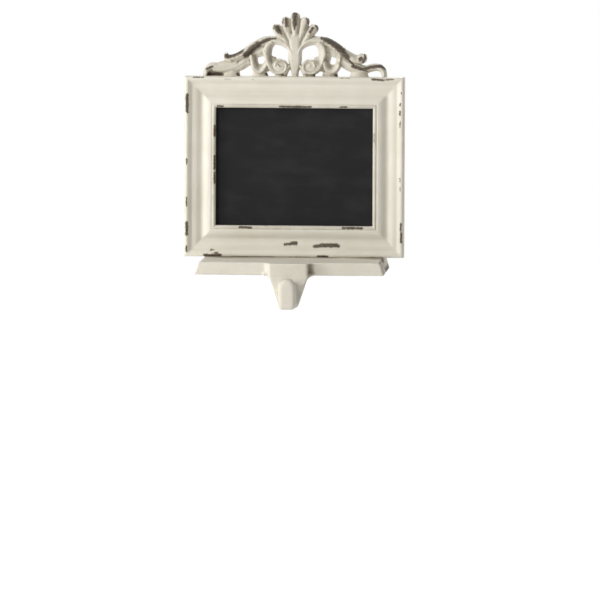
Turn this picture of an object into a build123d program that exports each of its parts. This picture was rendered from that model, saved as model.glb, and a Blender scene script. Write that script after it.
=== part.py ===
from build123d import *
import os

os.makedirs("parts", exist_ok=True)

# Mantel stocking holder: a framed chalkboard with an openwork crest, screwed to a heavy
# plate that stands on the mantel and carries the hook on its front edge.
# Millimetres. X runs to the right, Y to the back, Z up. The origin is the middle of the seat.

# Base plate
base_width = 121.6
base_depth = 76.0
base_thickness = 8.4
base_corner = 4.0
base_lean = 2.6  # how far the ends and the back lean in from the underside to the top
base_edge_chamfer = 0.7

# Seat pad, let into the underside of the plate
pad_thickness = 1.8
pad_proud = 1.0
pad_margin = 14.0
pad_corner = 5.0
pad_clearance = 0.3

# Hook: a neck on the plate's front edge, a tongue and an upturned round-topped tip
neck_width = 25.2
neck_thickness = 6.0
neck_flare = 5.0
flare_bite = 0.4  # how far the flare runs into the plate's front face
neck_step = 0.4  # the neck's top lies this far below the plate's top
hook_drop = 19.7  # from the seat down to the lowest point of the hook
hook_width = 11.5
hook_corner = 2.8
throat_gap = 9.0
saddle_sag = 2.5
tongue_inset = 0.8
tip_thickness = 7.5
tip_top = 0.3
tip_round = 2.8
tip_chamfer = 1.0

# Frame: the sight opening shows the panel, and the border is the moulding's full width
sight_width = 101.6
sight_height = 76.2
border = 20.3
frame_thickness = 13.0
frame_setback = 45.0  # from the plate's front edge to the frame's front

# Moulding section: widths across the border and depths back from the frame's front
bead_round = 1.7
bead_width = 4.9
bead_foot = 1.7
flat_depth = 2.0
cove_width = 3.6
cove_depth = 3.5
cove_sag = 0.25  # how far the cove hollows out behind its chord
ovolo_width = 4.2
ovolo_bulge = 0.45  # how far the ovolo swells out in front of its chord
crown_width = 2.4
crown_depth = 1.3
quirk_width = 0.7
quirk_depth = 1.8
lip_width = 1.8
lip_depth = 1.2
lip_chamfer = 0.7

# Panel and its rabbet
panel_depth = 5.0  # from the frame's front back to the panel's face
panel_thickness = 3.2
rabbet_width = 3.2
panel_clearance = 0.3

# Crest: an openwork slab that carries raised strands with rounded-off sides
crest_slab = 4.0
crest_setback = 10.5  # from the frame's front back to the crest's rear face
crest_root = 1.0  # how far the crest runs down into the frame
shoulder_level = 0.6  # share of a petal's rise where its side turns towards the top
shoulder_share = 0.8  # share of its half width there
petal_top_share = 0.35  # share of its half width at the top
strand_top_share = 0.45  # the same for every other strand, which has no shoulder

# Screws that hold the frame on the plate
base_screw_diameter = 4.0
base_screw_head = 8.0
base_screw_length = 20.0
base_screw_spacing = 80.0
base_screw_setback = 9.0  # from the frame's front back to the screw's axis
screw_clearance = 0.1
drill_allowance = 1.0

# Clips and clip screws that hold the panel
clip_width = 10.0
clip_thickness = 1.2
clip_foot = 9.0
clip_toe = 6.0
clip_gap = 0.4
clip_screw_diameter = 3.0
clip_screw_head = 5.6
clip_screw_crown = 1.9
clip_screw_length = 6.0
slot_width = 0.8  # of both kinds of screw
slot_depth = 0.9

# Levels and places that follow from the sizes above
base_front = -base_depth / 2
base_bottom = pad_proud
base_top = base_bottom + base_thickness
pad_length = base_width - 2 * pad_margin
pad_breadth = base_depth - 2 * pad_margin
neck_front = base_front - neck_thickness
tip_back = neck_front - throat_gap
hook_bottom = -hook_drop
saddle_rim = tip_top - tip_round
frame_width = sight_width + 2 * border
frame_height = sight_height + 2 * border
frame_front = base_front + frame_setback
frame_bottom = base_top
frame_top = frame_bottom + frame_height
frame_middle = frame_bottom + frame_height / 2
rabbet_start = border - rabbet_width
panel_rear = panel_depth + panel_thickness

# The crest's strands on the right half, each with the height that it stands above the slab.
# A station gives its distance from the centre line, its height above the frame and the
# strand's half width there.
arm = (3.2, [
    (2.0, 14.5, 1.2), (5.6, 20.4, 2.3), (13.0, 23.4, 2.8), (21.5, 22.2, 2.5), (32.0, 15.2, 2.5),
    (43.2, 11.0, 2.6),
])
curl = (3.6, [(41.0, 10.6, 2.2), (43.8, 11.6, 2.1), (44.7, 14.4, 1.3)])
tail = (2.9, [
    (29.5, 12.4, 2.0), (37.5, 6.8, 2.9), (45.5, 4.7, 2.6), (53.5, 6.2, 2.5), (57.4, 2.8, 1.9),
    (57.7, -crest_root, 1.7),
])
cup = (2.4, [
    (28.2, 14.2, 2.1), (27.6, 9.0, 2.4), (25.9, 4.9, 2.4), (23.2, 3.2, 2.4), (20.4, 5.0, 2.0),
    (19.2, 9.0, 1.7),
])
bow = (2.7, [
    (20.4, 20.8, 2.2), (18.2, 14.0, 2.5), (16.2, 6.8, 2.2), (12.0, 2.7, 1.7), (7.5, 3.2, 1.4),
    (5.8, 7.0, 1.3), (8.6, 9.9, 1.3), (11.8, 9.0, 1.2), (12.5, 6.6, 0.9),
])
leg = (2.0, [(3.4, 7.0, 1.2), (5.2, 3.6, 1.3), (7.6, -crest_root, 1.6)])
stem = (2.5, [(0.0, -crest_root, 4.4), (0.0, 8.0, 2.9), (0.0, 21.0, 4.0)])
petal_middle = (4.0, [(0.0, 16.0, 1.5), (0.0, 28.0, 2.7), (0.0, 38.4, 3.1)])
petal_second = (3.7, [(1.4, 16.0, 1.3), (3.6, 26.0, 2.3), (6.2, 35.4, 3.1)])
petal_third = (3.4, [(2.4, 16.0, 1.2), (6.4, 23.6, 2.3), (12.0, 30.9, 3.1)])
petals = [petal_third, petal_second, petal_middle]  # each with a round far end
raised_strands = [arm, curl, tail, cup, bow, leg, stem] + petals

# Parts of the slab that carry no raised strand
tail_foot = [(40.0, 5.0, 4.0), (40.4, -crest_root, 5.0)]
cup_foot = [(23.4, 3.0, 3.0), (23.4, -crest_root, 3.6)]
volute_foot = [(9.2, 3.0, 2.2), (9.2, -crest_root, 2.6)]
web = [(20.4, 18.6, 1.8), (24.8, 16.0, 2.2), (28.4, 13.4, 1.6)]

volute_place = (9.8, 6.2)
volute_radius = 5.2


def side(points):
    """One side of a strand: a line, an arc, or arcs along the smooth curve through its points."""
    if len(points) == 2:
        Line(*points)
    elif len(points) == 3:
        ThreePointArc(*points)
    else:
        curve = Spline(*points, mode=Mode.PRIVATE)
        count = len(points) - 1
        for index in range(count):
            ThreePointArc(*[curve @ ((index + part) / count) for part in (0, 0.5, 1)])


def strand(stations, share=1.0, round_end=False):
    """Face of a strand at a share of its half width, with a square or a round far end."""
    left = []
    right = []
    for index, (across, up, half) in enumerate(stations):
        before = stations[max(index - 1, 0)]
        after = stations[min(index + 1, len(stations) - 1)]
        along = Vector(after[0] - before[0], after[1] - before[1]).normalized()
        sideways = Vector(-along.Y, along.X) * half * share
        left.append(Vector(across, up) + sideways)
        right.append(Vector(across, up) - sideways)
    with BuildSketch() as face:
        with BuildLine():
            side(left)
            side(right)
            Line(left[0], right[0])
            if round_end:
                ThreePointArc(left[-1], Vector(across, up) + along * half * share, right[-1])
            else:
                Line(left[-1], right[-1])
        make_face()
    return face.sketch


# Upturned tip of the hook, rounded all over
with BuildPart() as hook_tip:
    with BuildSketch(Plane(origin=(0, tip_back, 0), x_dir=(1, 0, 0), z_dir=(0, -1, 0))) as bullet:
        with BuildLine():
            arch = ThreePointArc(
                (-hook_width / 2, tip_top - hook_width / 2),
                (0, tip_top),
                (hook_width / 2, tip_top - hook_width / 2),
            )
            Polyline(
                arch @ 1,
                (hook_width / 2, hook_bottom),
                (-hook_width / 2, hook_bottom),
                arch @ 0,
            )
        make_face()
        fillet(bullet.vertices().group_by(Axis.Y)[0], hook_corner)
    extrude(amount=tip_thickness)
    chamfer(hook_tip.faces().sort_by(Axis.Y)[-1].edges(), tip_chamfer)
    fillet(hook_tip.faces().sort_by(Axis.Y)[0].edges(), tip_round)

# Base plate with the hook: one casting
screw_row = Plane(
    origin=(0, frame_front + base_screw_setback, pad_thickness), x_dir=(1, 0, 0), z_dir=(0, 0, -1)
)
with BuildPart() as hook_base:
    for level, lean, inset in (
        (base_bottom, 0, 0),
        (base_top - base_edge_chamfer, base_lean, 0),
        (base_top, base_lean, base_edge_chamfer),
    ):
        with BuildSketch(Plane.XY.offset(level)):
            with Locations((0, -lean / 2)):
                RectangleRounded(
                    base_width - 2 * (lean + inset), base_depth - lean - 2 * inset, base_corner - inset
                )
    loft(ruled=True)
    # The neck flares into the plate's front edge
    with BuildSketch(Plane.XY.offset(base_bottom)):
        with BuildLine():
            flare_side = neck_width / 2 + neck_flare
            flare = CenterArc((flare_side, base_front + flare_bite - neck_flare), neck_flare, 90, 90)
            Polyline((0, base_front + neck_flare), (flare_side, base_front + neck_flare), flare @ 0)
            Polyline(flare @ 1, (neck_width / 2, neck_front), (0, neck_front))
            mirror(about=Plane.YZ)
        make_face()
    extrude(amount=base_thickness - neck_step)
    # Below the plate the neck tapers down to the width of the hook
    with BuildSketch(Plane(origin=(0, base_front, 0), x_dir=(1, 0, 0), z_dir=(0, -1, 0))) as shield:
        with BuildLine():
            Polyline(
                (0, base_top - neck_step),
                (neck_width / 2, base_top - neck_step),
                (neck_width / 2, base_bottom),
                (hook_width / 2, hook_bottom),
                (0, hook_bottom),
            )
            mirror(about=Plane.YZ)
        make_face()
        fillet(shield.vertices().group_by(Axis.Y)[0], hook_corner)
    extrude(amount=neck_thickness)
    # Tongue with the saddle that a loop hangs in
    with BuildSketch(Plane.YZ):
        with BuildLine():
            saddle = ThreePointArc(
                (neck_front, saddle_rim),
                (neck_front - throat_gap / 2, saddle_rim - saddle_sag),
                (tip_back, saddle_rim),
            )
            Polyline(
                saddle @ 1,
                (tip_back - tip_thickness / 2, saddle_rim),
                (tip_back - tip_thickness / 2, hook_bottom + hook_corner),
                (neck_front + neck_thickness / 2, hook_bottom + hook_corner),
                (neck_front + neck_thickness / 2, saddle_rim),
                saddle @ 0,
            )
        make_face()
    extrude(amount=hook_width / 2 - tongue_inset, both=True)
    add(hook_tip.part)
    # Recess for the pad and countersunk holes for the frame's screws
    with BuildSketch(Plane.XY.offset(base_bottom)):
        RectangleRounded(
            pad_length + 2 * pad_clearance, pad_breadth + 2 * pad_clearance, pad_corner + pad_clearance
        )
    extrude(amount=pad_thickness - pad_proud, mode=Mode.SUBTRACT)
    with Locations(screw_row):
        with GridLocations(base_screw_spacing, 0, 2, 1):
            CounterSinkHole(
                base_screw_diameter / 2 + screw_clearance,
                base_screw_head / 2 + 2 * screw_clearance,
                depth=base_thickness,
                counter_sink_angle=90,
            )
hook_base.part.label = "hook_base"
export_step(hook_base.part, "parts/hook_base.step")

# Soft pad that the plate rests on
with BuildPart() as seat_pad:
    with BuildSketch():
        RectangleRounded(pad_length, pad_breadth, pad_corner)
    extrude(amount=pad_thickness)
seat_pad.part.label = "seat_pad"
export_step(seat_pad.part, "parts/seat_pad.step")

# Crest, with its right half mirrored to the left
crest_rear = Plane(
    origin=(0, frame_front + crest_setback, frame_top), x_dir=(1, 0, 0), z_dir=(0, -1, 0)
)
crest_face = crest_rear.offset(crest_slab)
with BuildPart() as crest:
    with BuildSketch(crest_rear):
        for form in raised_strands:
            add(strand(form[1], round_end=form in petals))
        for stations in (tail_foot, cup_foot, volute_foot, web):
            add(strand(stations))
        with Locations(volute_place):
            Circle(volute_radius)
    extrude(amount=crest_slab)
    for form in raised_strands:
        rise, stations = form
        if form in petals:
            sections = [(0, 1), (shoulder_level, shoulder_share), (1, petal_top_share)]
        else:
            sections = [(0, 1), (1, strand_top_share)]
        for level, share in sections:
            with BuildSketch(crest_face.offset(level * rise)):
                add(strand(stations, share, form in petals))
        loft(ruled=True)
    mirror(about=Plane.YZ)

# Middle of the outer edge of the bottom rail and of the two stiles, with X running back, Y inward
# and Z along the member
bottom_rail = Plane(origin=(0, frame_front, frame_bottom), x_dir=(0, 1, 0), z_dir=(1, 0, 0))
stiles = [
    Plane(origin=(frame_width / 2, frame_front, frame_middle), x_dir=(0, 1, 0), z_dir=(0, 0, 1)),
    Plane(origin=(-frame_width / 2, frame_front, frame_middle), x_dir=(0, 1, 0), z_dir=(0, 0, -1)),
]
clip_seats = [
    Plane(
        origin=stile.from_local_coords((frame_thickness, rabbet_start - clip_foot / 2, 0)),
        x_dir=(1, 0, 0),
        z_dir=(0, 1, 0),
    )
    for stile in stiles
]

# Frame and crest: one casting
with BuildPart() as crested_frame:
    with BuildLine() as outer_edge:
        Polyline(
            (0, frame_front, frame_bottom),
            (frame_width / 2, frame_front, frame_bottom),
            (frame_width / 2, frame_front, frame_top),
            (-frame_width / 2, frame_front, frame_top),
            (-frame_width / 2, frame_front, frame_bottom),
            close=True,
        )
    with BuildSketch(bottom_rail):
        with BuildLine():
            lip_start = border - lip_width
            quirk_start = lip_start - quirk_width
            crown_start = quirk_start - crown_width
            cove_end = crown_start - ovolo_width
            cove_start = cove_end - cove_width
            Polyline((frame_thickness, rabbet_start), (frame_thickness, 0), (bead_round, 0))
            CenterArc((bead_round, bead_round), bead_round, 180, 90)
            Polyline((0, bead_round), (bead_foot, bead_width), (flat_depth, cove_start))
            ThreePointArc(
                (flat_depth, cove_start),
                ((flat_depth + cove_depth) / 2 + cove_sag, (cove_start + cove_end) / 2),
                (cove_depth, cove_end),
            )
            ThreePointArc(
                (cove_depth, cove_end),
                ((cove_depth + crown_depth) / 2 - ovolo_bulge, (cove_end + crown_start) / 2),
                (crown_depth, crown_start),
            )
            Polyline(
                (crown_depth, crown_start),
                (quirk_depth, quirk_start),
                (lip_depth, lip_start),
                (lip_depth, border - lip_chamfer),
                (lip_depth + lip_chamfer, border),
                (panel_depth, border),
                (panel_depth, rabbet_start),
                (frame_thickness, rabbet_start),
            )
        make_face()
    sweep(path=outer_edge.wires()[0], transition=Transition.RIGHT)
    add(crest.part)
    with Locations(screw_row.offset(pad_thickness - frame_bottom)):
        with GridLocations(base_screw_spacing, 0, 2, 1):
            Hole(
                base_screw_diameter / 2 + screw_clearance,
                depth=base_screw_length + pad_thickness - frame_bottom + drill_allowance,
            )
    with Locations(*clip_seats):
        Hole(
            clip_screw_diameter / 2 + screw_clearance,
            depth=clip_screw_length - clip_thickness + drill_allowance,
        )
crested_frame.part.label = "crested_frame"
export_step(crested_frame.part, "parts/crested_frame.step")

# Chalkboard in the frame's rabbet
with BuildPart() as chalkboard_panel:
    with BuildSketch(
        Plane(origin=(0, frame_front + panel_rear, frame_middle), x_dir=(1, 0, 0), z_dir=(0, -1, 0))
    ):
        Rectangle(
            sight_width + 2 * (rabbet_width - panel_clearance),
            sight_height + 2 * (rabbet_width - panel_clearance),
        )
    extrude(amount=panel_thickness)
chalkboard_panel.part.label = "chalkboard_panel"
export_step(chalkboard_panel.part, "parts/chalkboard_panel.step")

# Offset clips: foot on the frame's back, toe on the panel's back
with BuildPart() as panel_clips:
    for stile in stiles:
        with BuildSketch(stile):
            with BuildLine():
                riser = rabbet_start + clip_gap
                Polyline(
                    (frame_thickness, rabbet_start - clip_foot),
                    (frame_thickness, riser),
                    (panel_rear, riser),
                    (panel_rear, riser + clip_toe),
                    (panel_rear + clip_thickness, riser + clip_toe),
                    (panel_rear + clip_thickness, riser + clip_thickness),
                    (frame_thickness + clip_thickness, riser + clip_thickness),
                    (frame_thickness + clip_thickness, rabbet_start - clip_foot),
                    close=True,
                )
            make_face()
        extrude(amount=clip_width / 2, both=True)
    with Locations(*[seat.offset(clip_thickness) for seat in clip_seats]):
        Hole(clip_screw_diameter / 2 + screw_clearance, depth=clip_thickness)
panel_clips.part.label = "panel_clips"
export_step(panel_clips.part, "parts/panel_clips.step")

# Clip screw: slotted head above its seat, shank below
with BuildPart() as clip_screw:
    with BuildSketch(Plane.XZ):
        with BuildLine():
            Polyline(
                (0, clip_screw_crown),
                (clip_screw_head / 2, clip_screw_crown),
                (clip_screw_head / 2, 0),
                (clip_screw_diameter / 2, 0),
                (clip_screw_diameter / 2, -clip_screw_length),
                (0, -clip_screw_length),
                close=True,
            )
        make_face()
    revolve(axis=Axis.Z)
    with Locations((0, 0, clip_screw_crown)):
        Box(clip_screw_head, slot_width, 2 * slot_depth, mode=Mode.SUBTRACT)
with BuildPart() as clip_screws:
    with Locations(*[seat.offset(clip_thickness) for seat in clip_seats]):
        add(clip_screw.part)
clip_screws.part.label = "clip_screws"
export_step(clip_screws.part, "parts/clip_screws.step")

# Countersunk screw, head upward
with BuildPart() as base_screw:
    with BuildSketch(Plane.XZ):
        with BuildLine():
            sink = (base_screw_head - base_screw_diameter) / 2
            Polyline(
                (0, 0),
                (base_screw_head / 2, 0),
                (base_screw_diameter / 2, -sink),
                (base_screw_diameter / 2, -base_screw_length),
                (0, -base_screw_length),
                close=True,
            )
        make_face()
    revolve(axis=Axis.Z)
    Box(base_screw_head, slot_width, 2 * slot_depth, mode=Mode.SUBTRACT)
with BuildPart() as base_screws:
    with Locations(screw_row.offset(-screw_clearance)):
        with GridLocations(base_screw_spacing, 0, 2, 1):
            add(base_screw.part)
base_screws.part.label = "base_screws"
export_step(base_screws.part, "parts/base_screws.step")
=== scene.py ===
import math

import bpy
import numpy as np
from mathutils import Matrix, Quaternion, Vector, noise


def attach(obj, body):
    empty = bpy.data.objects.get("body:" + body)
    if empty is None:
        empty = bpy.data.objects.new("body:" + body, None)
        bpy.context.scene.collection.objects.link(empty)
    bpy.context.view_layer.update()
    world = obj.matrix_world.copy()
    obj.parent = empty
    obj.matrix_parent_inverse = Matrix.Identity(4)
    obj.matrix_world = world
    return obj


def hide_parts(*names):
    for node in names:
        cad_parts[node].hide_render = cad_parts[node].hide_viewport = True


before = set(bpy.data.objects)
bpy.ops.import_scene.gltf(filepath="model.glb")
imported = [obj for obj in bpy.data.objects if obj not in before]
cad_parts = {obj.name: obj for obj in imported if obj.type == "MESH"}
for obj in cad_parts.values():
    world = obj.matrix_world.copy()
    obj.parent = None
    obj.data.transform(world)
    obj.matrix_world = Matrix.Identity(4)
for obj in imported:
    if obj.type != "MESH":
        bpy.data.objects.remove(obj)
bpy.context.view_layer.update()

# Mantel stocking holder: the moulded frame, its shell crest and the plate with the hook get soft
# cast forms and worn cream paint. The board, the clips, the screws and the pad keep their solids.
# Shapes are worked out in millimetres in the frame of the solids and scaled to metres at the end.
MM = 0.001

# Places of the solids that the castings keep to. The crest is a slab before its rear, and its feet go
# into the frame by the root.
PLATE_FRONT = -38.0
FRAME_FRONT = 7.0
FRAME_HALF_WIDTH = 71.1
FRAME_BOTTOM = 9.4
FRAME_TOP = 126.2
CREST_REAR = 17.5
CREST_SLAB = 4.0
CREST_ROOT = 1.0

# Moulding section: depth behind the frame's front, distance in from its outer edge, corner radius
MOULDING = [
    (13.0, 17.1, 0.3), (13.0, 0.0, 0.9),
    (0.0, 0.0, 1.5), (0.05, 2.3, 1.6), (2.05, 4.7, 1.3),
    (2.1, 7.5, 5.0), (4.1, 11.4, 2.6),
    (1.75, 14.7, 4.2), (1.25, 17.0, 1.6),
    (1.55, 18.0, 0.15), (1.1, 18.4, 0.2), (1.1, 19.3, 0.5), (1.9, 20.3, 0.6),
    (5.0, 20.3, 0.15), (5.0, 17.1, 0.15),
]
# The lip beside the board is what lies inside its start and before its back
LIP_START = 17.5
LIP_BACK = 5.0
ARC_STEP = math.radians(18)
COLUMN_SPACING = 1.0
# Uneven paint of the moulding: its depth, the mean share of that and the change, which comes in slow
# swells with quick ripples on them
UNEVENNESS = 0.06
UNEVEN_MEAN = 0.5
UNEVEN_CHANGE = 0.35
SWELL_SCALE = 0.09
RIPPLE_SCALE = 0.4
RIPPLE_SHARE = 0.4

# Paint of each casting: wear on its ridges, dirt and painted shade in its hollows, and dirt all over or
# in its stains, some of which are painted shade
FRAME_EDGE_WEAR = 0.10
FRAME_HOLLOW_DIRT_AND_SHADE = 0.10
LIP_PATINA = 0.45
CREST_EDGE_WEAR = 0.36
CREST_HOLLOW_DIRT_AND_SHADE = 1.0
CREST_PATINA = 0.32
CREST_SHADE_AND_STAIN_LEVEL = 1.5
PLATE_EDGE_WEAR = 0.15
PLATE_HOLLOW_DIRT_AND_SHADE = 0.15
PLATE_PATINA = 0.2
# Height of a ridge that is worn in full, the share of a worn place that shows on a face turned aside,
# and how fast it fades on faces turned to the back
RIDGE_HEIGHT = 0.10
ASIDE_SHARE = 0.7
BACK_FADE = 2.0

# Strands of the crest's right half. Stations give the distance from the centre line, the height above
# the frame and the half width. A strand stands its rise above the slab, from a share of it at the near
# end. It may have a groove beside its ridge, a hollow in its far half, a ridge that leans aside, a flat
# top or a rounded end.
STRANDS = {
    "arm": dict(rise=3.2, near=0.8, groove=0.9, stations=[
        (2.0, 14.5, 1.2), (4.4, 19.2, 2.0), (8.6, 22.2, 2.7), (14.0, 23.2, 2.8), (20.0, 22.6, 2.8),
        (25.0, 20.0, 2.9), (30.0, 16.5, 2.9), (35.0, 13.3, 2.8), (40.0, 11.2, 2.8), (43.2, 10.9, 2.6),
    ]),
    "curl": dict(rise=3.6, round_end=True, stations=[
        (41.0, 10.4, 2.4), (43.8, 11.6, 2.2), (44.7, 13.4, 1.6),
    ]),
    "tail": dict(rise=2.9, near=0.6, stations=[
        (29.5, 12.4, 2.0), (33.0, 9.8, 2.6), (37.5, 6.8, 2.9), (41.5, 5.3, 2.9), (45.5, 4.7, 2.6),
        (50.0, 5.9, 2.5), (53.8, 6.2, 2.5), (56.8, 4.2, 2.1), (57.7, 1.4, 1.8), (57.7, -CREST_ROOT, 1.7),
    ]),
    "bow": dict(rise=2.9, near=0.9, lean=0.5, round_end=True, stations=[
        (14.4, 21.4, 2.0), (16.8, 19.4, 2.7), (18.0, 15.8, 3.0), (17.3, 11.2, 2.3), (16.1, 7.2, 2.1),
        (13.9, 3.9, 2.0), (10.2, 2.5, 1.7), (6.8, 3.9, 1.6), (6.0, 7.2, 1.5), (8.6, 9.7, 1.5),
        (11.6, 8.9, 1.3), (12.4, 6.8, 1.0),
    ]),
    "leg": dict(rise=2.0, stations=[(3.4, 7.0, 1.2), (5.2, 3.6, 1.3), (7.6, -CREST_ROOT, 1.6)]),
    "petal_second": dict(rise=3.7, near=0.35, hollow=1.3, round_end=True, stations=[
        (1.4, 16.0, 1.3), (3.0, 24.0, 2.1), (5.2, 31.0, 2.9), (6.2, 35.4, 3.1),
    ]),
    "petal_third": dict(rise=3.4, near=0.35, hollow=1.3, round_end=True, stations=[
        (2.4, 16.0, 1.2), (5.4, 22.0, 2.0), (9.5, 27.4, 2.9), (12.0, 30.9, 3.1),
    ]),
    "tail_foot": dict(rise=1.2, stations=[(41.0, 5.0, 4.8), (41.3, 2.0, 5.6), (41.6, -CREST_ROOT, 6.3)]),
    "tail_cheek": dict(rise=1.2, stations=[(29.6, 9.6, 2.4), (33.4, 6.8, 2.4), (39.0, 4.4, 2.4)]),
    "cup_foot": dict(rise=0.8, stations=[(23.2, 3.4, 4.2), (22.8, 1.0, 5.0), (22.6, -CREST_ROOT, 5.5)]),
    "volute_foot": dict(rise=0.6, stations=[(9.4, 3.0, 3.2), (9.4, 1.0, 3.5), (9.4, -CREST_ROOT, 4.0)]),
    "web": dict(rise=0.4, stations=[(20.4, 18.0, 2.4), (24.8, 15.2, 2.6), (28.4, 13.0, 1.8)]),
    "cup_floor": dict(rise=-1.6, stations=[(24.0, 3.4, 2.6), (23.8, 5.6, 2.8), (23.8, 7.8, 2.6)]),
    "volute_web": dict(rise=-0.4, stations=[(13.6, 12.6, 1.5), (14.6, 9.0, 2.0), (14.0, 6.0, 1.6)]),
    "bow_web": dict(rise=-0.4, stations=[(18.4, 7.0, 1.6), (17.8, 4.6, 2.0), (17.4, 3.0, 1.6)]),
}
MIDDLE_STRANDS = {
    "stem": dict(rise=2.0, flat=0.5, stations=[
        (0.0, -CREST_ROOT, 2.2), (0.0, 2.0, 2.3), (0.0, 5.0, 3.1), (0.0, 9.0, 4.2), (0.0, 14.0, 4.5),
        (0.0, 21.0, 4.8),
    ]),
    "palm": dict(rise=2.6, near=0.8, flat=0.4, round_end=True, stations=[
        (0.0, 12.0, 3.4), (0.0, 17.0, 4.2), (0.0, 21.5, 4.8), (0.0, 24.5, 4.6),
    ]),
    "petal_middle": dict(rise=4.0, near=0.35, hollow=1.3, round_end=True, stations=[
        (0.0, 16.0, 1.5), (0.0, 26.0, 2.5), (0.0, 34.0, 3.2), (0.0, 38.4, 3.1),
    ]),
}
# Strands that differ between the halves: the cups, and casting flash and fill beside them
LEFT_STRANDS = {
    "tail_floor": dict(rise=-2.2, stations=[(45.0, 1.4, 1.6), (50.0, 1.8, 2.0), (55.5, 1.2, 1.4)]),
    "tail_swell": dict(rise=2.2, stations=[
        (53.0, 5.2, 1.6), (48.5, 6.6, 2.6), (42.0, 7.4, 2.8), (37.0, 8.6, 2.0),
    ]),
    "tail_flank": dict(rise=1.6, stations=[(40.0, 4.0, 2.2), (47.0, 3.9, 1.9), (53.0, 4.4, 1.8)]),
    "cup": dict(rise=2.4, lean=0.4, round_end=True, stations=[
        (27.8, 14.2, 2.0), (26.9, 9.0, 2.0), (25.6, 4.9, 2.4), (23.0, 3.4, 2.5), (20.4, 5.0, 2.1),
        (18.9, 8.4, 1.6),
    ]),
    "cup_wall": dict(rise=-1.2, stations=[(25.0, 5.4, 1.6), (25.4, 9.0, 1.4), (26.0, 13.0, 1.6)]),
    "cup_roof": dict(rise=-0.6, stations=[(19.6, 15.4, 2.4), (23.4, 14.0, 1.8), (27.0, 12.6, 1.4)]),
}
RIGHT_STRANDS = {
    "cup": dict(rise=2.4, lean=0.4, round_end=True, stations=[
        (28.8, 14.2, 2.0), (28.3, 9.4, 2.0), (26.9, 5.4, 2.3), (23.8, 3.4, 2.4), (20.8, 5.0, 2.1),
        (19.5, 8.8, 1.8),
    ]),
    "cup_wall": dict(rise=-1.2, stations=[(21.0, 5.4, 1.8), (21.0, 9.0, 1.7), (21.8, 13.4, 1.8)]),
}
# Turned buttons: place, radius and height above the crest's rear
BUTTONS = [(9.8, 6.2, 5.2, 6.2), (9.6, 6.6, 1.3, 6.7)]
RIGHT_BUTTONS = [(43.2, 11.8, 3.4, 7.2)]
# Profile of a button, from its foot to its top: shares of its radius and of its height
BUTTON_PROFILE = [(1.0, 0.0), (1.0, 0.55), (0.93, 0.8), (0.72, 0.94), (0.3, 1.0)]
BUTTON_SIDES = 24
# Section of a strand: its back, groove and hollow in shares of its half width, and the share of the
# slab that its sides go up to
SECTION_POINTS = 19
BACK_SHARE = 0.97
SIDE_SHARE = 0.75
DOME_POWER = 0.8
GROOVE_PLACE = 0.38
GROOVE_WIDTH = 0.16
HOLLOW_WIDTH = 0.5
# Shares of a strand's length at which it has its full rise, and its hollow starts and is deepest
FULL_RISE = 0.7
HOLLOW_START = 0.45
HOLLOW_FULL = 0.8
STRAND_STEP = 0.5
CAP_STEP = 15
# Skins of the castings: size of a voxel, rounds that soften them, and rounds that find their ridges
# and hollows
CREST_VOXEL = 0.33
PLATE_VOXEL = 0.6
SOFT_ROUNDS = 3
EDGE_ROUNDS = 10
CREST_ROUNDS = 60
HOLLOW_DEPTH = 0.038
WELD_DIGITS = 4

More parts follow.
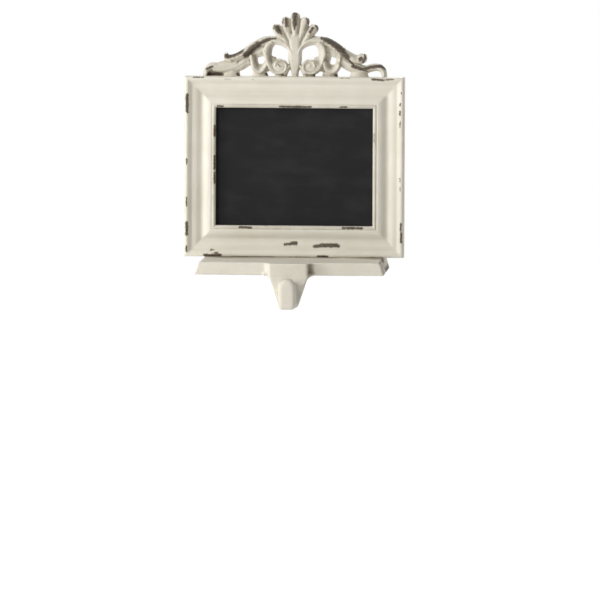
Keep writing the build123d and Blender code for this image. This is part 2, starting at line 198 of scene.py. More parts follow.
# Worn places as strokes seen from the front: half width, how far the paint is gone at the middle, then
# points of across and height
FRAME_WEAR = [
    (1.0, 1.0, [(-69.4, 114.1), (-69.4, 103.2)]), (0.8, 0.8, [(-69.5, 72.7), (-69.5, 69.5)]),
    (0.8, 0.8, [(-69.5, 47.5), (-69.5, 42.3)]), (1.0, 0.95, [(-69.4, 31.3), (-69.4, 23.6)]),
    (0.9, 0.85, [(-69.4, 15.8), (-69.4, 12.6)]),
    (0.6, 0.75, [(69.2, 116.7), (69.2, 115.4)]), (0.7, 0.8, [(68.7, 109.6), (68.5, 107.9)]),
    (0.7, 0.85, [(68.5, 104.6), (68.4, 101.9)]), (0.6, 0.75, [(68.6, 98.0), (68.6, 94.1)]),
    (0.6, 0.72, [(68.6, 61.2), (68.6, 58.6)]), (0.6, 0.7, [(68.7, 55.4), (68.7, 52.6)]),
    (0.8, 0.9, [(69.4, 32.0), (69.2, 27.5)]), (0.9, 0.9, [(69.5, 25.5), (69.5, 19.7)]),
    (0.6, 0.8, [(-65.6, 125.5), (-58.5, 125.5)]), (0.9, 0.86, [(50.2, 125.0), (57.6, 124.4)]),
    (0.7, 0.76, [(57.6, 124.6), (64.0, 125.0)]),
    (0.5, 0.65, [(-44.9, 124.4), (-41.0, 124.4)]), (0.5, 0.7, [(-27.0, 124.2), (-26.0, 124.2)]),
    (0.4, 0.7, [(29.2, 125.5), (35.6, 125.5)]),
    (1.0, 0.82, [(-9.5, 106.8), (10.7, 106.8)]), (0.9, 0.8, [(29.6, 106.8), (34.0, 106.8)]),
    (0.9, 0.85, [(-49.6, 106.8), (-46.2, 106.8)]),
    (1.0, 0.86, [(-51.5, 94.1), (-51.5, 87.6)]), (1.0, 0.86, [(-51.5, 74.7), (-51.5, 66.3)]),
    (0.9, 0.84, [(-51.5, 63.7), (-51.5, 57.2)]), (0.5, 0.8, [(51.6, 89.6), (51.6, 84.4)]),
    (1.1, 0.84, [(-35.2, 28.6), (-31.0, 28.5), (-27.6, 28.4)]),
    (0.5, 0.7, [(-18.6, 29.2), (-17.0, 29.2)]),
    (1.1, 0.84, [(31.6, 28.5), (38.0, 28.7), (44.4, 28.4)]),
    (1.1, 0.88, [(-6.0, 17.5), (-2.0, 17.9), (1.9, 17.8)]), (1.0, 0.75, [(-1.6, 18.9), (1.8, 19.2)]),
    (1.3, 0.9, [(13.4, 16.5), (20.0, 16.9), (28.9, 16.8)]), (1.0, 0.8, [(17.0, 18.0), (28.0, 17.9)]),
    (1.2, 0.9, [(-57.6, 10.5), (-53.5, 10.2), (-47.3, 10.6)]),
    (1.1, 0.85, [(-53.2, 13.8), (-49.8, 12.0)]),
    (0.5, 0.6, [(-41.6, 9.7), (-12.0, 9.7)]), (0.5, 0.6, [(-2.8, 9.7), (11.2, 9.7)]),
    (1.0, 0.85, [(15.6, 10.2), (22.0, 10.0)]), (0.5, 0.6, [(45.6, 9.7), (58.4, 9.7)]),
]
# Some of these dark strokes are painted shade: in the left tail's hole, under the right tail, in the
# right curl's eye, in the left volute's groove and at the crest's foot
CREST_WEAR_AND_SHADE = [
    (1.8, 0.95, [(-0.1, 40.4), (-0.1, 33.6)]), (1.0, 0.85, [(-0.1, 33.6), (-0.3, 30.8)]),
    (2.0, 0.76, [(-5.9, 38.0), (-5.3, 32.6)]), (0.8, 0.8, [(-7.6, 37.0), (-7.8, 34.6)]),
    (1.8, 0.95, [(-11.8, 31.6), (-10.2, 29.2)]), (0.9, 0.9, [(-10.2, 29.4), (-8.8, 27.6)]),
    (0.9, 0.75, [(-13.4, 33.0), (-13.8, 30.6)]),
    (1.5, 0.68, [(7.4, 37.6), (8.8, 34.4)]), (0.7, 0.8, [(8.6, 37.6), (9.6, 35.2)]),
    (1.2, 0.9, [(11.6, 31.4), (9.8, 28.8)]), (1.1, 0.76, [(13.6, 33.0), (15.0, 30.4), (14.8, 27.6)]),
    (1.2, 0.9, [(17.2, 25.0), (20.4, 24.5)]), (2.4, 1.0, [(20.4, 24.2), (24.4, 22.2), (29.0, 18.0)]),
    (2.0, 0.95, [(29.0, 18.0), (33.9, 12.9)]), (0.8, 0.85, [(33.9, 12.0), (38.3, 7.4)]),
    (1.3, 0.9, [(27.0, 21.2), (31.4, 17.4)]),
    (1.2, 0.95, [(37.3, 6.9), (44.3, 4.9), (49.1, 6.4), (55.6, 7.2), (58.8, 5.4)]),
    (1.0, 0.7, [(41.4, 4.7), (47.0, 3.7)]),
    (1.4, 1.0, [(42.4, 11.6), (42.8, 11.9)]), (1.0, 0.75, [(45.2, 14.6), (45.6, 12.0), (44.0, 9.6)]),
    (0.8, 0.85, [(-12.4, 24.4), (-16.4, 24.2)]),
    (1.3, 0.95, [(-16.4, 24.0), (-19.6, 23.0), (-23.7, 20.6)]),
    (2.1, 1.0, [(-23.7, 20.6), (-28.4, 17.0), (-31.6, 13.6)]),
    (1.6, 1.0, [(-34.6, 16.6), (-37.6, 14.8), (-41.2, 13.2), (-44.2, 12.9)]),
    (1.0, 0.85, [(-57.2, 4.5), (-53.4, 6.2)]), (1.0, 1.0, [(-56.0, 1.1), (-47.0, 0.9)]),
    (1.1, 0.9, [(-37.2, 1.3), (-36.4, 0.4)]), (0.9, 0.9, [(-19.0, 1.4), (-17.6, 0.8)]),
    (0.9, 0.85, [(-8.4, 0.9), (-7.0, 0.7)]), (1.1, 0.9, [(12.4, 0.9), (13.6, 0.8)]),
    (1.1, 0.9, [(26.4, 0.9), (27.8, 0.8)]), (0.6, 0.8, [(-10.6, 7.6), (-9.6, 6.4)]),
]
# Painted shade on the crest's inner faces, on faces turned from the light and at its foot, with brown
# stains among it, written as the worn places are
CREST_SHADE_AND_STAINS = [
    (1.8, 1.0, [(-15.6, 19.4), (-16.4, 15.5), (-16.0, 10.4)]),
    (1.4, 0.9, [(-15.0, 12.6), (-12.0, 12.2)]),
    (1.6, 0.9, [(21.6, 18.6), (22.2, 14.5), (21.5, 10.0), (22.6, 6.4)]),
    (1.6, 1.0, [(-26.0, 13.4), (-25.4, 9.0), (-24.2, 5.6)]),
    (1.4, 0.9, [(8.0, 35.4), (6.6, 31.0)]), (1.4, 0.9, [(13.0, 31.0), (9.6, 26.4)]),
    (1.6, 0.8, [(-6.6, 35.0), (-5.2, 29.8)]), (1.6, 0.8, [(-12.4, 31.4), (-8.6, 25.8)]),
    (1.4, 0.8, [(-12.6, 9.8), (-6.8, 9.4)]), (1.7, 0.9, [(15.6, 9.6), (16.0, 6.6), (14.2, 3.6)]),
    (1.5, 0.8, [(-19.4, 4.6), (-16.4, 3.4)]), (1.2, 0.7, [(-12.0, 1.0), (-5.0, 1.0)]),
    (1.2, 0.7, [(5.0, 1.0), (13.0, 1.0)]), (1.2, 0.7, [(19.0, 1.0), (29.0, 1.0)]),
    (1.4, 0.8, [(-31.4, 9.0), (-33.6, 5.6)]), (1.4, 0.9, [(28.6, 9.0), (31.0, 6.6)]),
    (1.2, 0.8, [(44.6, 12.6), (43.6, 9.4)]),
    (1.2, 0.7, [(26.2, 14.0), (31.4, 10.8), (37.0, 9.0)]), (1.2, 0.6, [(-37.0, 9.4), (-31.6, 11.0)]),
]
# The plate's right end: where it begins, its dirt and painted shade all over, and its worn places and its
# stains and painted shade as strokes of depth and height, seen from that side
PLATE_END = 57.6
END_DIRT_AND_SHADE = 0.9
PLATE_END_WEAR = [
    (1.2, 1.25, [(-6.0, 8.6), (4.0, 8.4)]), (1.5, 1.3, [(-4.0, 2.4), (10.0, 2.0), (26.0, 3.0)]),
]
PLATE_END_STAINS_AND_SHADE = [
    (7.0, 2.2, [(-34.0, 3.0), (-20.0, 3.6)]), (4.0, 1.5, [(-30.0, 8.0), (-8.0, 8.0)]),
]
# Darker bands on the plate beside the neck, seen from the front, the strong one on the right being
# painted shade of the neck, and dirt and painted contact shade along the frame's foot, seen from above
NECK_SHADE_AND_STAINS = [(1.2, 1.5, [(13.4, 8.6), (13.4, 2.4)]), (1.2, 0.4, [(-13.6, 8.6), (-13.6, 2.4)])]
FOOT_DIRT_AND_SHADE = [
    (4.0, 1.2, [(-57.6, 6.0), (-47.3, 6.0)]), (4.5, 1.9, [(-41.6, 5.0), (-14.0, 5.0)]),
    (4.0, 1.3, [(-2.8, 6.0), (11.2, 6.0)]), (4.0, 1.4, [(15.6, 6.0), (22.0, 6.0)]),
    (6.0, 0.7, [(36.0, 6.0), (46.0, 6.0)]), (4.5, 1.5, [(47.0, 4.0), (58.4, 4.0)]),
    (3.0, 2.4, [(54.6, 4.0), (58.4, 3.0)]),
]
# How near to the plate's front or top a point lies on that face
FRONT_SKIN = 0.6
TOP_SKIN = 0.8
# Corners of the plate, from below to the top: insets from its ends and from its front, and the height.
# Each is filled as far in as it reaches.
PLATE_HALF = 60.8
PLATE_CORNERS = [(0.1, 0.1, 1.1), (2.4, 0.1, 8.6), (3.2, 0.8, 9.3)]
CORNER_REACH = 5.0
# Fillet between the plate's underside and the neck's side: across and height of its curve's points, its
# back and front, and how far it goes into the plate and the neck
NECK_FILLET = [(16.4, 1.0), (12.9, 0.9), (11.3, -2.6)]
NECK_FILLET_BACK = -38.4
NECK_FILLET_FRONT = -43.0
FILLET_STEPS = 9
PLATE_OVERLAP = 1.0
NECK_OVERLAP = 2.0

# Colours of the finishes
FRESH_CREAM = (0.722, 0.686, 0.592)
AGED_CREAM = (0.690, 0.650, 0.548)
BRUSH_SHADE = (0.50, 0.44, 0.34)
BRUSH_LIGHT = (0.83, 0.80, 0.71)
# Brown of dirt and of painted shade in hollows, stains, the plate's end and the frame's foot
GRIME_AND_SHADE_BROWN = (0.30, 0.25, 0.18)
CHIP_RIM = (0.34, 0.28, 0.20)
UNDERCOAT = (0.036, 0.027, 0.019)
DUSTY_UNDERCOAT = (0.150, 0.118, 0.086)
BOARD_BLACK = (0.0150, 0.0145, 0.0155)
BOARD_HAZE = (0.0270, 0.0260, 0.0265)
BRIGHT_ZINC = (0.66, 0.65, 0.62)
DULL_ZINC = (0.54, 0.53, 0.50)
PAD_BLACK = (0.042, 0.042, 0.043)
PAD_DUST = (0.085, 0.083, 0.080)
WHITE = (1.0, 1.0, 1.0)
PALE_FLOOR = (0.9, 0.9, 0.9)


class Wire:
    """A socket of a node tree, with arithmetic that adds Math nodes."""

    def __init__(self, finish, socket):
        self.finish = finish
        self.socket = socket

    def math(self, operation, left, right):
        """A Math node on two values."""
        return self.finish.node("ShaderNodeMath", {"operation": operation}, {0: left, 1: right})

    def __add__(self, other):
        return self.math("ADD", self, other)

    def __radd__(self, other):
        return self.math("ADD", other, self)

    def __sub__(self, other):
        return self.math("SUBTRACT", self, other)

    def __rsub__(self, other):
        return self.math("SUBTRACT", other, self)

    def __mul__(self, other):
        return self.math("MULTIPLY", self, other)

    def __rmul__(self, other):
        return self.math("MULTIPLY", other, self)

    def larger(self, other):
        return self.math("MAXIMUM", self, other)


class Finish:
    """A node tree that is written from its textures to its shader."""

    def __init__(self, tree):
        self.tree = tree
        tree.nodes.clear()

    def node(self, kind, settings=None, sockets=None, output=0):
        """A new node with its settings, then the values or links of its sockets."""
        made = self.tree.nodes.new(kind)
        for name, value in (settings or {}).items():
            setattr(made, name, value)
        for name, value in (sockets or {}).items():
            if isinstance(value, Wire):
                self.tree.links.new(value.socket, made.inputs[name])
            elif isinstance(value, tuple) and len(value) == 3 and made.inputs[name].type == "RGBA":
                made.inputs[name].default_value = (*value, 1.0)
            else:
                made.inputs[name].default_value = value
        return Wire(self, made.outputs[output]) if made.outputs else None

    def place(self):
        """Object coordinates in millimetres."""
        metres = self.node("ShaderNodeTexCoord", output="Object")
        return self.node("ShaderNodeVectorMath", {"operation": "SCALE"}, {0: metres, "Scale": 1 / MM})

    def stretched(self, vector, factors):
        """A vector times a factor for each axis."""
        return self.node("ShaderNodeVectorMath", {"operation": "MULTIPLY"}, {0: vector, 1: factors})

    def cloud(self, vector, scale, detail=2.0, roughness=0.5):
        """Soft noise."""
        return self.node("ShaderNodeTexNoise", {}, {
            "Vector": vector, "Scale": scale, "Detail": detail, "Roughness": roughness,
        })

    def laid(self, name):
        """A value that the mesh carries at its points."""
        return self.node("ShaderNodeAttribute", {"attribute_name": name}, output="Fac")

    def rise(self, value, low, high, to_low=0.0, to_high=1.0):
        """A smooth step from to_low to to_high while the value goes from low to high."""
        return self.node("ShaderNodeMapRange", {"interpolation_type": "SMOOTHSTEP"}, {
            "Value": value, "From Min": low, "From Max": high, "To Min": to_low, "To Max": to_high,
        })

    def blend(self, share, first, second):
        """A colour from the first to the second."""
        return self.node("ShaderNodeMix", {"data_type": "RGBA"}, {
            0: share, 6: first, 7: second,
        }, output=2)

    def between(self, share, first, second):
        """A vector from the first to the second."""
        return self.node("ShaderNodeMix", {"data_type": "VECTOR"}, {
            0: share, 4: first, 5: second,
        }, output=1)

    def dents(self, height, depth_mm, strength=1.0):
        """A bumped normal."""
        return self.node("ShaderNodeBump", {}, {
            "Strength": strength, "Distance": depth_mm * MM, "Height": height,
        })

    def shade(self, sockets):
        """The shader, joined to the material's output."""
        surface = self.node("ShaderNodeBsdfPrincipled", {}, sockets)
        self.node("ShaderNodeOutputMaterial", {}, {"Surface": surface})


def new_finish(name):
    """A material and its empty node tree."""
    material = bpy.data.materials.new(name)
    material.use_nodes = True
    return material, Finish(material.node_tree)


def worn_cream_paint():
    """Cream paint, brushed along the members, chipped to a dark undercoat where it is worn, darkened by
    grime and painted shade where the mesh's points say.
    """
    material, f = new_finish("worn_cream_paint")
    place = f.place()
    along_rail = f.stretched(place, (0.035, 1.0, 1.0))
    along_stile = f.stretched(place, (1.0, 1.0, 0.035))
    grain = f.between(f.laid("stile"), along_rail, along_stile)
    patches = f.cloud(place, 0.06, 3.0)
    specks = f.cloud(place, 0.9, 3.0, 0.6)
    crumbs = f.cloud(place, 2.6, 2.0)
    strokes = f.cloud(grain, 1.1, 3.0, 0.6)
    fine_strokes = f.cloud(grain, 3.2, 2.0)

    ragged = (specks - 0.5) * 0.8 + (crumbs - 0.5) * 0.6
    # Worn places chip to the undercoat; on the crest some of these dark places are painted shade
    worn = f.laid("wear") + ragged
    chip = f.rise(worn, 0.44, 0.62)
    halo = f.rise(worn, 0.30, 0.52)
    # Grime and painted shade, where the mesh's points lay them, broken up by the patches
    grime_and_shade = f.laid("dirt_and_painted_shade") * f.rise(patches + specks * 0.6, 0.5, 1.1, 0.35, 1.0)

    cream = f.blend(f.rise(patches, 0.3, 0.7), FRESH_CREAM, AGED_CREAM)
    cream = f.blend(f.rise(strokes, 0.52, 0.76, 0.0, 0.16), cream, BRUSH_SHADE)
    cream = f.blend(f.rise(fine_strokes, 0.35, 0.7, 0.10, 0.0), cream, BRUSH_LIGHT)
    cream = f.blend(grime_and_shade * 0.85, cream, GRIME_AND_SHADE_BROWN)
    cream = f.blend(halo * 0.5, cream, CHIP_RIM)
    bare = f.blend(f.rise(specks + crumbs * 0.5, 0.5, 1.0), UNDERCOAT, DUSTY_UNDERCOAT)
    colour = f.blend(chip, cream, bare)

    film = fine_strokes * 0.35 + crumbs * 0.15 - chip * 0.9
    f.shade({
        "Base Color": colour,
        "Roughness": f.rise(patches + fine_strokes * 0.3, 0.4, 0.9, 0.42, 0.56) + chip * 0.16,
        "Specular IOR Level": 0.3,
        "Normal": f.dents(film, 0.03),
    })
    return material


def matte_chalkboard():
    """Matte black board with the dry haze of wiped chalk."""
    material, f = new_finish("matte_chalkboard")
    place = f.place()
    wiped = f.cloud(f.stretched(place, (0.04, 1.0, 0.11)), 1.0, 4.0, 0.55)
    tooth = f.cloud(place, 3.5, 3.0)
    dust = f.cloud(place, 0.05, 2.0)
    haze = f.rise(wiped * 0.6 + dust * 0.4, 0.42, 0.66, 0.0, 0.6) + tooth * 0.25
    f.shade({
        "Base Color": f.blend(haze, BOARD_BLACK, BOARD_HAZE),
        "Roughness": f.rise(tooth, 0.3, 0.7, 0.78, 0.92),
        "Specular IOR Level": 0.15,
        "Normal": f.dents(tooth, 0.05, 0.6),
    })
    return material


def zinc_plated_steel():
    """Zinc plating with a drawn grain and dull spangles."""
    material, f = new_finish("zinc_plated_steel")
    place = f.place()
    drawn = f.cloud(f.stretched(place, (0.3, 3.0, 3.0)), 1.6, 3.0)
    spangle = f.cloud(place, 0.8, 2.0)
    f.shade({
        "Base Color": f.blend(f.rise(spangle, 0.35, 0.65), BRIGHT_ZINC, DULL_ZINC),
        "Metallic": 1.0,
        "Roughness": f.rise(drawn + spangle * 0.5, 0.5, 1.0, 0.28, 0.46),
        "Normal": f.dents(drawn, 0.02),
    })
    return material


def dull_pad_rubber():
    """Dull dark rubber with a fine pebble and a little dust."""
    material, f = new_finish("dull_pad_rubber")
    place = f.place()
    pebble = f.cloud(place, 1.4, 2.0)
    dust = f.cloud(place, 0.08, 3.0)
    f.shade({
        "Base Color": f.blend(f.rise(dust, 0.4, 0.75), PAD_BLACK, PAD_DUST),
        "Roughness": f.rise(dust + pebble * 0.3, 0.4, 0.9, 0.72, 0.9),
        "Normal": f.dents(pebble, 0.12, 0.8),
    })
    return material


def placed(name, data):
    """A new object in the scene with the given mesh, lamp or camera."""
    piece = bpy.data.objects.new(name, data)
    bpy.context.scene.collection.objects.link(piece)
    return piece


def mesh_points(mesh):
    """The places of a mesh's points, one row each."""
    points = np.empty(len(mesh.vertices) * 3)
    mesh.vertices.foreach_get("co", points)
    return points.reshape(-1, 3)


def mesh_normals(mesh):
    """The outward directions at a mesh's points, one row each."""
    normals = np.empty(len(mesh.vertices) * 3)
    mesh.vertex_normals.foreach_get("vector", normals)
    return normals.reshape(-1, 3)


def set_points(mesh, points):
    """Moves a mesh's points."""
    mesh.vertices.foreach_set("co", np.ascontiguousarray(points).ravel())
    mesh.update()


def lay(mesh, name, values):
    """Gives each of a mesh's points a value that its finish reads."""
    layer = mesh.attributes.new(name, "FLOAT", "POINT")
    layer.data.foreach_set("value", np.asarray(values, dtype=np.float32))


def relaxed(mesh, points, rounds, share=0.5):
    """Points drawn towards the middle of their neighbours, round after round."""
    ends = np.empty(len(mesh.edges) * 2, dtype=np.int64)
    mesh.edges.foreach_get("vertices", ends)
    first, second = ends.reshape(-1, 2).T
    count = len(points)
    near = np.bincount(first, minlength=count) + np.bincount(second, minlength=count)
    for _ in range(rounds):
        middle = np.empty_like(points)
        for axis in range(3):
            middle[:, axis] = (
                np.bincount(first, points[second, axis], count)
                + np.bincount(second, points[first, axis], count)
            )
        points = points + share * (middle / near[:, None] - points)
    return points


def hollowness(mesh, points, rounds):
    """How deep each point lies under the smoothed surface: above 0 in hollows, below 0 on ridges."""
    smooth = relaxed(mesh, points, rounds)
    return ((smooth - points) * mesh_normals(mesh)).sum(axis=1)


def stroke_field(points, strokes):
    """How far gone the strokes say along their middle, 0.5 less at their half width, and never below 0.

    The strokes are seen along the points' second axis.
    """
    field = np.zeros(len(points))
    seen = points[:, (0, 2)]
    for half, gone, path in strokes:
        for start, end in zip(path[:-1], path[1:]):
            start = np.array(start)
            run = np.array(end) - start
            share = np.clip((seen - start) @ run / max(run @ run, 1e-9), 0.0, 1.0)
            away = np.linalg.norm(seen - start - share[:, None] * run, axis=1)
            field = np.maximum(field, gone - 0.5 * away / half)
    return field


def finish_casting(piece, points, wear, node, stile, edge_wear, dirt_and_shade, patina_and_shade, spread=EDGE_ROUNDS):
    """Lays the wear, the dirt and the painted shade on a casting, scales it to metres and dresses it in
    paint.
    """
    mesh = piece.data
    set_points(mesh, points)
    hollow = hollowness(mesh, points, EDGE_ROUNDS)
    valley = hollowness(mesh, points, spread) / (HOLLOW_DEPTH * spread**0.5)
    front = np.clip(ASIDE_SHARE - mesh_normals(mesh)[:, 1] * BACK_FADE, 0.0, 1.0)
    ridge = np.clip(-hollow / RIDGE_HEIGHT, 0.0, 1.0) * edge_wear
    lay(mesh, "wear", np.maximum(wear * front, ridge))
    # Hollows darken as dirt and painted shade, and so do the patina, stains and painted shade that each
    # casting brings
    lay(mesh, "dirt_and_painted_shade", np.maximum(np.clip(valley, 0.0, 1.0) * dirt_and_shade, patina_and_shade))
    lay(mesh, "stile", stile)
    set_points(mesh, points * MM)
    mesh.shade_smooth()
    mesh.materials.clear()
    mesh.materials.append(cream_paint)
    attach(piece, "root")
    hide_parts(node)


def remeshed(name, mesh, voxel):
    """The outer skin of closed solids as even quads, with its edges softened."""
    blank = placed(name + "_blank", mesh)
    skin = blank.modifiers.new("skin", "REMESH")
    skin.mode = "VOXEL"
    skin.voxel_size = voxel
    cast = blank.evaluated_get(bpy.context.evaluated_depsgraph_get())
    made = bpy.data.meshes.new_from_object(cast)
    bpy.data.objects.remove(blank)
    made.name = name
    return placed(name, made), relaxed(made, mesh_points(made), SOFT_ROUNDS)


def rounded_outline(corners):
    """A closed outline whose corners are arcs of their own radius."""
    outline = []
    for index, (depth, across, radius) in enumerate(corners):
        corner = Vector((depth, across))
        back = (Vector(corners[index - 1][:2]) - corner).normalized()
        onward = (Vector(corners[(index + 1) % len(corners)][:2]) - corner).normalized()
        half_angle = back.angle(onward) / 2
        centre = corner + (back + onward).normalized() * radius / math.sin(half_angle)
        start = corner + back * radius / math.tan(half_angle) - centre
        turn = math.pi - 2 * half_angle
        if back.cross(onward) > 0:
            turn = -turn
        steps = max(2, math.ceil(abs(turn) / ARC_STEP))
        for step in range(steps + 1):
            angle = turn * step / steps
            outline.append((
                centre.x + start.x * math.cos(angle) - start.y * math.sin(angle),
                centre.y + start.x * math.sin(angle) + start.y * math.cos(angle),
            ))
    return outline


def make_frame_moulding():
    """The mitred moulding: its section, carried round the frame in even columns."""
    outline = rounded_outline(MOULDING)
    half_height = (FRAME_TOP - FRAME_BOTTOM) / 2
    middle = (FRAME_TOP + FRAME_BOTTOM) / 2
    turns = [(-1, -1), (1, -1), (1, 1), (-1, 1)]
    columns = []
    for side, (begin, end) in enumerate(zip(turns, turns[1:] + turns[:1])):
        length = 2 * (half_height if side % 2 else FRAME_HALF_WIDTH)
        count = round(length / COLUMN_SPACING)
        for step in range(count):
            share = step / count
            columns.append((
                begin[0] + (end[0] - begin[0]) * share,
                begin[1] + (end[1] - begin[1]) * share,
                side % 2,
            ))
    points = np.array([
        (x * (FRAME_HALF_WIDTH - across), FRAME_FRONT + depth, middle + z * (half_height - across))
        for depth, across in outline for x, z, _ in columns
    ])
    wide = len(columns)
    tall = len(outline)
    faces = [
        (row * wide + column, row * wide + (column + 1) % wide,
         (row + 1) % tall * wide + (column + 1) % wide, (row + 1) % tall * wide + column)
        for row in range(tall) for column in range(wide)
    ]
    mesh = bpy.data.meshes.new("frame_moulding")
    mesh.from_pydata(points.tolist(), [], faces)
    swell = np.array([
        noise.noise(Vector(p) * SWELL_SCALE) + RIPPLE_SHARE * noise.noise(Vector(p) * RIPPLE_SCALE)
        for p in points
    ])
    points = points - mesh_normals(mesh) * (UNEVENNESS * (UNEVEN_MEAN + UNEVEN_CHANGE * swell))[:, None]
    piece = placed("frame_moulding", mesh)
    stile = [upright for _ in outline for _, _, upright in columns]
    lip = np.repeat([across > LIP_START and depth < LIP_BACK for depth, across in outline], wide)
    wear = stroke_field(points, FRAME_WEAR)
    finish_casting(
        piece, points, wear, "crested_frame", stile, FRAME_EDGE_WEAR, FRAME_HOLLOW_DIRT_AND_SHADE, lip * LIP_PATINA,
    )


def smooth_stations(stations):
    """Stations at even steps on the smooth curve through the given ones."""
    table = np.array(stations)
    lengths = np.linalg.norm(np.diff(table[:, :2], axis=0), axis=1)
    reach = np.concatenate(([0.0], np.cumsum(lengths)))
    slope = np.gradient(table, reach, axis=0)
    fine = np.linspace(0.0, reach[-1], max(2, round(reach[-1] / STRAND_STEP) + 1))
    index = np.clip(np.searchsorted(reach, fine, side="right") - 1, 0, len(reach) - 2)
    gap = (reach[index + 1] - reach[index])[:, None]
    t = (fine - reach[index])[:, None] / gap
    return (
        (2 * t**3 - 3 * t**2 + 1) * table[index] + (3 * t**2 - 2 * t**3) * table[index + 1]
        + gap * ((t**3 - 2 * t**2 + t) * slope[index] + (t**3 - t**2) * slope[index + 1])
    )


class Casting:
    """Closed solids in one mesh."""

    def __init__(self):
        self.points = []
        self.faces = []

    def add_rings(self, rings):
        """A closed skin through rings of as many points each, with flat ends."""
        first = len(self.points)
        size = len(rings[0])
        for ring in rings:
            self.points.extend(ring)
        for row in range(len(rings) - 1):
            for column in range(size):
                after = (column + 1) % size
                low = first + row * size
                self.faces.append((low + column, low + after, low + size + after, low + size + column))
        self.faces.append(tuple(range(first + size - 1, first - 1, -1)))
        last = first + (len(rings) - 1) * size
        self.faces.append(tuple(range(last, last + size)))

    def mesh(self, name):
        """The solids as one mesh."""
        made = bpy.data.meshes.new(name)
        made.from_pydata(self.points, [], self.faces)
        return made


def add_strand(
    casting, sign, rise, stations,
    near=1.0, groove=0.0, hollow=0.0, lean=0.0, flat=0.0, round_end=False,
):
    """A strand with a flat back, upright sides and a domed front, mirrored where sign is -1."""
    rows = smooth_stations(stations)
    heading = np.gradient(rows[:, :2], axis=0)
    heading /= np.linalg.norm(heading, axis=1)[:, None]
    count = len(rows)
    lift = np.interp(np.arange(count), (0, FULL_RISE * count), (near, 1.0))
    scoop = np.interp(np.arange(count), (HOLLOW_START * count, HOLLOW_FULL * count), (0.0, hollow))
    if round_end:
        swing = np.radians(np.arange(CAP_STEP, 90, CAP_STEP))
        end = rows[-1]
        cap = np.column_stack((
            end[:2] + heading[-1] * end[2] * np.sin(swing)[:, None], end[2] * np.cos(swing),
        ))
        rows = np.vstack((rows, cap))
        heading = np.vstack((heading, np.repeat(heading[-1:], len(swing), axis=0)))
        lift = np.concatenate((lift, lift[-1] * np.sqrt(np.cos(swing))))
        scoop = np.concatenate((scoop, scoop[-1] * np.cos(swing)))
    across = np.sin(np.radians(np.linspace(-90, 90, SECTION_POINTS)))
    aside = np.where(across > lean, (across - lean) / (1 - lean), (across - lean) / (1 + lean))
    slope = np.clip((np.abs(aside) - flat) / (1 - flat), 0.0, 1.0)
    dome = np.cos(0.5 * math.pi * slope) ** DOME_POWER
    trench = groove * np.exp(-(((across + GROOVE_PLACE) / GROOVE_WIDTH) ** 2))
    spoon = np.exp(-((across / HOLLOW_WIDTH) ** 2))
    side = SIDE_SHARE * CREST_SLAB
    crown = rise + (1 - SIDE_SHARE) * CREST_SLAB
    rings = []
    for (u, v, half), (du, dv), high, deep in zip(rows, heading, lift, scoop):
        height = side + crown * high * dome - trench - deep * spoon
        section = [(-BACK_SHARE, 0.0), *zip(across, height), (BACK_SHARE, 0.0)]
        rings.append([
            (sign * (u - dv * half * s), CREST_REAR - h, FRAME_TOP + v + du * half * s)
            for s, h in section
        ])
    casting.add_rings(rings)


def add_button(casting, button, sign):
    """A turned button with a domed top."""
    u, v, radius, high = button
    rings = []
    for share, level in BUTTON_PROFILE:
        rings.append([
            (sign * u + radius * share * math.cos(a), CREST_REAR - high * level,
             FRAME_TOP + v + radius * share * math.sin(a))
            for a in np.linspace(0, 2 * math.pi, BUTTON_SIDES, endpoint=False)
        ])
    casting.add_rings(rings)


def make_shell_crest():
    """The openwork crest: both halves' strands and buttons and the middle ones, under one skin."""
    casting = Casting()
    halves = ((1, RIGHT_STRANDS, RIGHT_BUTTONS), (-1, LEFT_STRANDS, []))
    for sign, own_strands, own_buttons in halves:
        for form in (*STRANDS.values(), *own_strands.values()):
            add_strand(casting, sign, **form)
        for button in (*BUTTONS, *own_buttons):
            add_button(casting, button, sign)
    for form in MIDDLE_STRANDS.values():
        add_strand(casting, 1, **form)
    piece, points = remeshed("shell_crest", casting.mesh("crest_solids"), CREST_VOXEL)
    above_frame = points - np.array((0.0, 0.0, FRAME_TOP))
    # The crest's wear holds some painted shade, and its stains are mostly painted shade
    wear = stroke_field(above_frame, CREST_WEAR_AND_SHADE)
    stains_and_shade = np.maximum(CREST_PATINA, CREST_SHADE_AND_STAIN_LEVEL * stroke_field(above_frame, CREST_SHADE_AND_STAINS))
    both_ways = np.full(len(points), 0.5)
    finish_casting(
        piece, points, wear, "crested_frame", both_ways, CREST_EDGE_WEAR, CREST_HOLLOW_DIRT_AND_SHADE, stains_and_shade,
        CREST_ROUNDS,
    )


def add_neck_fillet(casting, sign):
    """A concave fillet under the plate, to the side of the neck where sign is 1 or -1."""
    start, middle, end = (np.array(point) for point in NECK_FILLET)
    curve = [
        (1 - t) ** 2 * start + 2 * t * (1 - t) * middle + t**2 * end
        for t in np.linspace(0.0, 1.0, FILLET_STEPS)
    ]
    top = start[1] + PLATE_OVERLAP
    inner = end[0] - NECK_OVERLAP
    outline = [(start[0], top), *curve, (inner, end[1]), (inner, top)]
    casting.add_rings([
        [(sign * across, depth, height) for across, height in outline]
        for depth in (NECK_FILLET_BACK, NECK_FILLET_FRONT)
    ])


def add_plate_corners(casting, sign):
    """Fills the plate's rounded corners up to sharp edges, at the end where sign is 1 or -1."""
    front_rings = []
    back_rings = []
    for inset, drop, height in PLATE_CORNERS:
        end = PLATE_HALF - inset
        inner = end - CORNER_REACH
        front = PLATE_FRONT + drop
        back = -PLATE_FRONT - inset
        for rings, near, far in (
            (front_rings, front, PLATE_FRONT + CORNER_REACH),
            (back_rings, back - CORNER_REACH, back),
        ):
            rings.append([
                (sign * x, y, height) for x, y in ((inner, near), (end, near), (end, far), (inner, far))
            ])
    casting.add_rings(front_rings)
    casting.add_rings(back_rings)


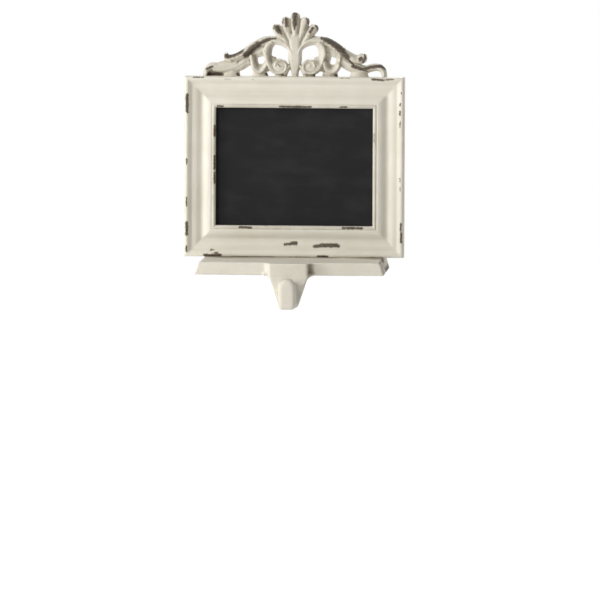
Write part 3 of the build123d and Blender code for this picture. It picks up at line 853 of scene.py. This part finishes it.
def make_hook_plate():
    """The plate with its neck and hook: the welded solid, its fillets and its corners, under one skin."""
    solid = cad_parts["hook_base"].data
    corners = mesh_points(solid) / MM
    known = {}
    welded = [
        known.setdefault(tuple(np.round(corner, WELD_DIGITS)), len(known)) for corner in corners
    ]
    faces = [tuple(welded[v] for v in face.vertices) for face in solid.polygons]
    casting = Casting()
    casting.points.extend(known)
    casting.faces.extend(faces)
    for sign in (-1, 1):
        add_neck_fillet(casting, sign)
        add_plate_corners(casting, sign)
    piece, points = remeshed("hook_plate", casting.mesh("hook_solids"), PLATE_VOXEL)
    from_side = points[:, (1, 0, 2)]
    from_above = points[:, (0, 2, 1)]
    on_front = points[:, 1] < PLATE_FRONT + FRONT_SKIN
    on_top = points[:, 2] > FRAME_BOTTOM - TOP_SKIN
    on_end = (points[:, 0] > PLATE_END) & (points[:, 1] > PLATE_FRONT + FRONT_SKIN)
    wear = stroke_field(from_side, PLATE_END_WEAR) * on_end
    # The strong darker band right of the neck is painted shade of the neck
    stains_and_shade = np.maximum(stroke_field(points, NECK_SHADE_AND_STAINS) * on_front, PLATE_PATINA)
    # Darker along the frame's foot: dirt and painted contact shade
    dirt_and_shade = stroke_field(from_above, FOOT_DIRT_AND_SHADE)
    # The end face is darkened all over: dirt and painted shade
    end = np.maximum(stroke_field(from_side, PLATE_END_STAINS_AND_SHADE), END_DIRT_AND_SHADE) * on_end
    patina_and_shade = np.maximum(np.where(on_top, dirt_and_shade, stains_and_shade), end)
    along_rail = np.zeros(len(points))
    finish_casting(
        piece, points, wear, "hook_base", along_rail, PLATE_EDGE_WEAR, PLATE_HOLLOW_DIRT_AND_SHADE, patina_and_shade,
    )


def dress_solids():
    """Gives the solids that stay in sight their finishes."""
    finishes = {
        "chalkboard_panel": matte_chalkboard(),
        "base_screws": steel,
        "panel_clips": steel,
        "clip_screws": steel,
        "seat_pad": dull_pad_rubber(),
    }
    for node, finish in finishes.items():
        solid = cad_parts[node]
        solid.data.materials.clear()
        solid.data.materials.append(finish)


cream_paint = worn_cream_paint()
steel = zinc_plated_steel()
make_frame_moulding()
make_shell_crest()
make_hook_plate()
dress_solids()

# Camera: the picture is FIELD metres wide at the point that the camera is aimed at
AZIMUTH = math.radians(3.6)
ELEVATION = math.radians(4.4)
ROLL = math.radians(0.25)
DISTANCE = 6.0
FIELD = 0.388
SENSOR = 36.0
AIM = Vector((0.0043, 0.007, -0.0182))


def bearing(azimuth, elevation):
    """The direction from the object to a camera or lamp, where azimuth 0 is its front."""
    level = math.cos(elevation)
    return Vector((math.sin(azimuth) * level, -math.cos(azimuth) * level, math.sin(elevation)))


outlook = bearing(AZIMUTH, ELEVATION)
camera = placed("camera", bpy.data.cameras.new("camera"))
camera.data.sensor_width = SENSOR
camera.data.lens = SENSOR * DISTANCE / FIELD
camera.location = AIM + outlook * DISTANCE
camera.rotation_mode = "QUATERNION"
camera.rotation_quaternion = outlook.to_track_quat("Z", "Y") @ Quaternion((0, 0, 1), ROLL)
bpy.context.scene.camera = camera

# Lamps: azimuth and elevation in degrees, distance and size in metres, and level
LIT_POINT = Vector((0.0, 0.0, 0.07))


def soft_lamp(name, azimuth, elevation, distance, size, level):
    """An area lamp that adds the given level to a white face turned towards it."""
    lamp = bpy.data.lights.new(name, "AREA")
    lamp.shape = "DISK"
    lamp.size = size
    lamp.energy = level * math.pi**2 * distance**2
    holder = placed(name, lamp)
    way = bearing(math.radians(azimuth), math.radians(elevation))
    holder.location = LIT_POINT + way * distance
    holder.rotation_mode = "QUATERNION"
    holder.rotation_quaternion = way.to_track_quat("Z", "Y")


soft_lamp("key_lamp", -65.0, 4.0, 1.3, 0.5, 0.50)
soft_lamp("side_fill", -30.0, 6.0, 1.2, 0.4, 0.23)
soft_lamp("high_fill", -40.0, 40.0, 1.3, 0.5, 0.30)
soft_lamp("top_fill", 0.0, 84.0, 1.5, 0.8, 0.15)
soft_lamp("back_fill", 172.0, 35.0, 1.3, 0.6, 0.40)
soft_lamp("right_fill", 115.0, 8.0, 1.3, 0.6, 0.15)

# World and floor: white where they are looked at, a plain level of light elsewhere
AMBIENT = 0.14


def looked_at(f):
    """1 for what is seen straight, in a reflection or through glass, and 0 for plain light."""
    seen, mirrored, through = (
        f.node("ShaderNodeLightPath", output=name)
        for name in ("Is Camera Ray", "Is Glossy Ray", "Is Transmission Ray")
    )
    return seen.larger(mirrored).larger(through)


world = bpy.data.worlds.new("studio")
bpy.context.scene.world = world
world.use_nodes = True
sky = Finish(world.node_tree)
dim = sky.node("ShaderNodeBackground", {}, {"Color": WHITE, "Strength": AMBIENT})
white = sky.node("ShaderNodeBackground", {}, {"Color": WHITE, "Strength": 1.0})
sky.node("ShaderNodeOutputWorld", {}, {
    "Surface": sky.node("ShaderNodeMixShader", {}, {0: looked_at(sky), 1: dim, 2: white}),
})

FLOOR_LEVEL = -0.215
FLOOR_REACH = 3.0
# The floor's own glow, the share of it that lights the object, and the share more where it is looked at
FLOOR_GLOW = 1.32
GLOW_SHARE = 0.28
SEEN_SHARE = 0.47
floor_mesh = bpy.data.meshes.new("floor")
floor_mesh.from_pydata(
    [(x * FLOOR_REACH, y * FLOOR_REACH, FLOOR_LEVEL) for x, y in ((-1, -1), (1, -1), (1, 1), (-1, 1))],
    [], [(0, 1, 2, 3)],
)
floor_material, pale = new_finish("pale_floor")
matt = pale.node("ShaderNodeBsdfDiffuse", {}, {"Color": PALE_FLOOR})
glow = pale.node("ShaderNodeEmission", {}, {"Color": WHITE, "Strength": FLOOR_GLOW})
glow_share = looked_at(pale) * SEEN_SHARE + GLOW_SHARE
pale.node("ShaderNodeOutputMaterial", {}, {
    "Surface": pale.node("ShaderNodeMixShader", {}, {0: glow_share, 1: matt, 2: glow}),
})
floor_mesh.materials.append(floor_material)
placed("floor", floor_mesh)

bpy.context.scene.view_settings.view_transform = "Standard"
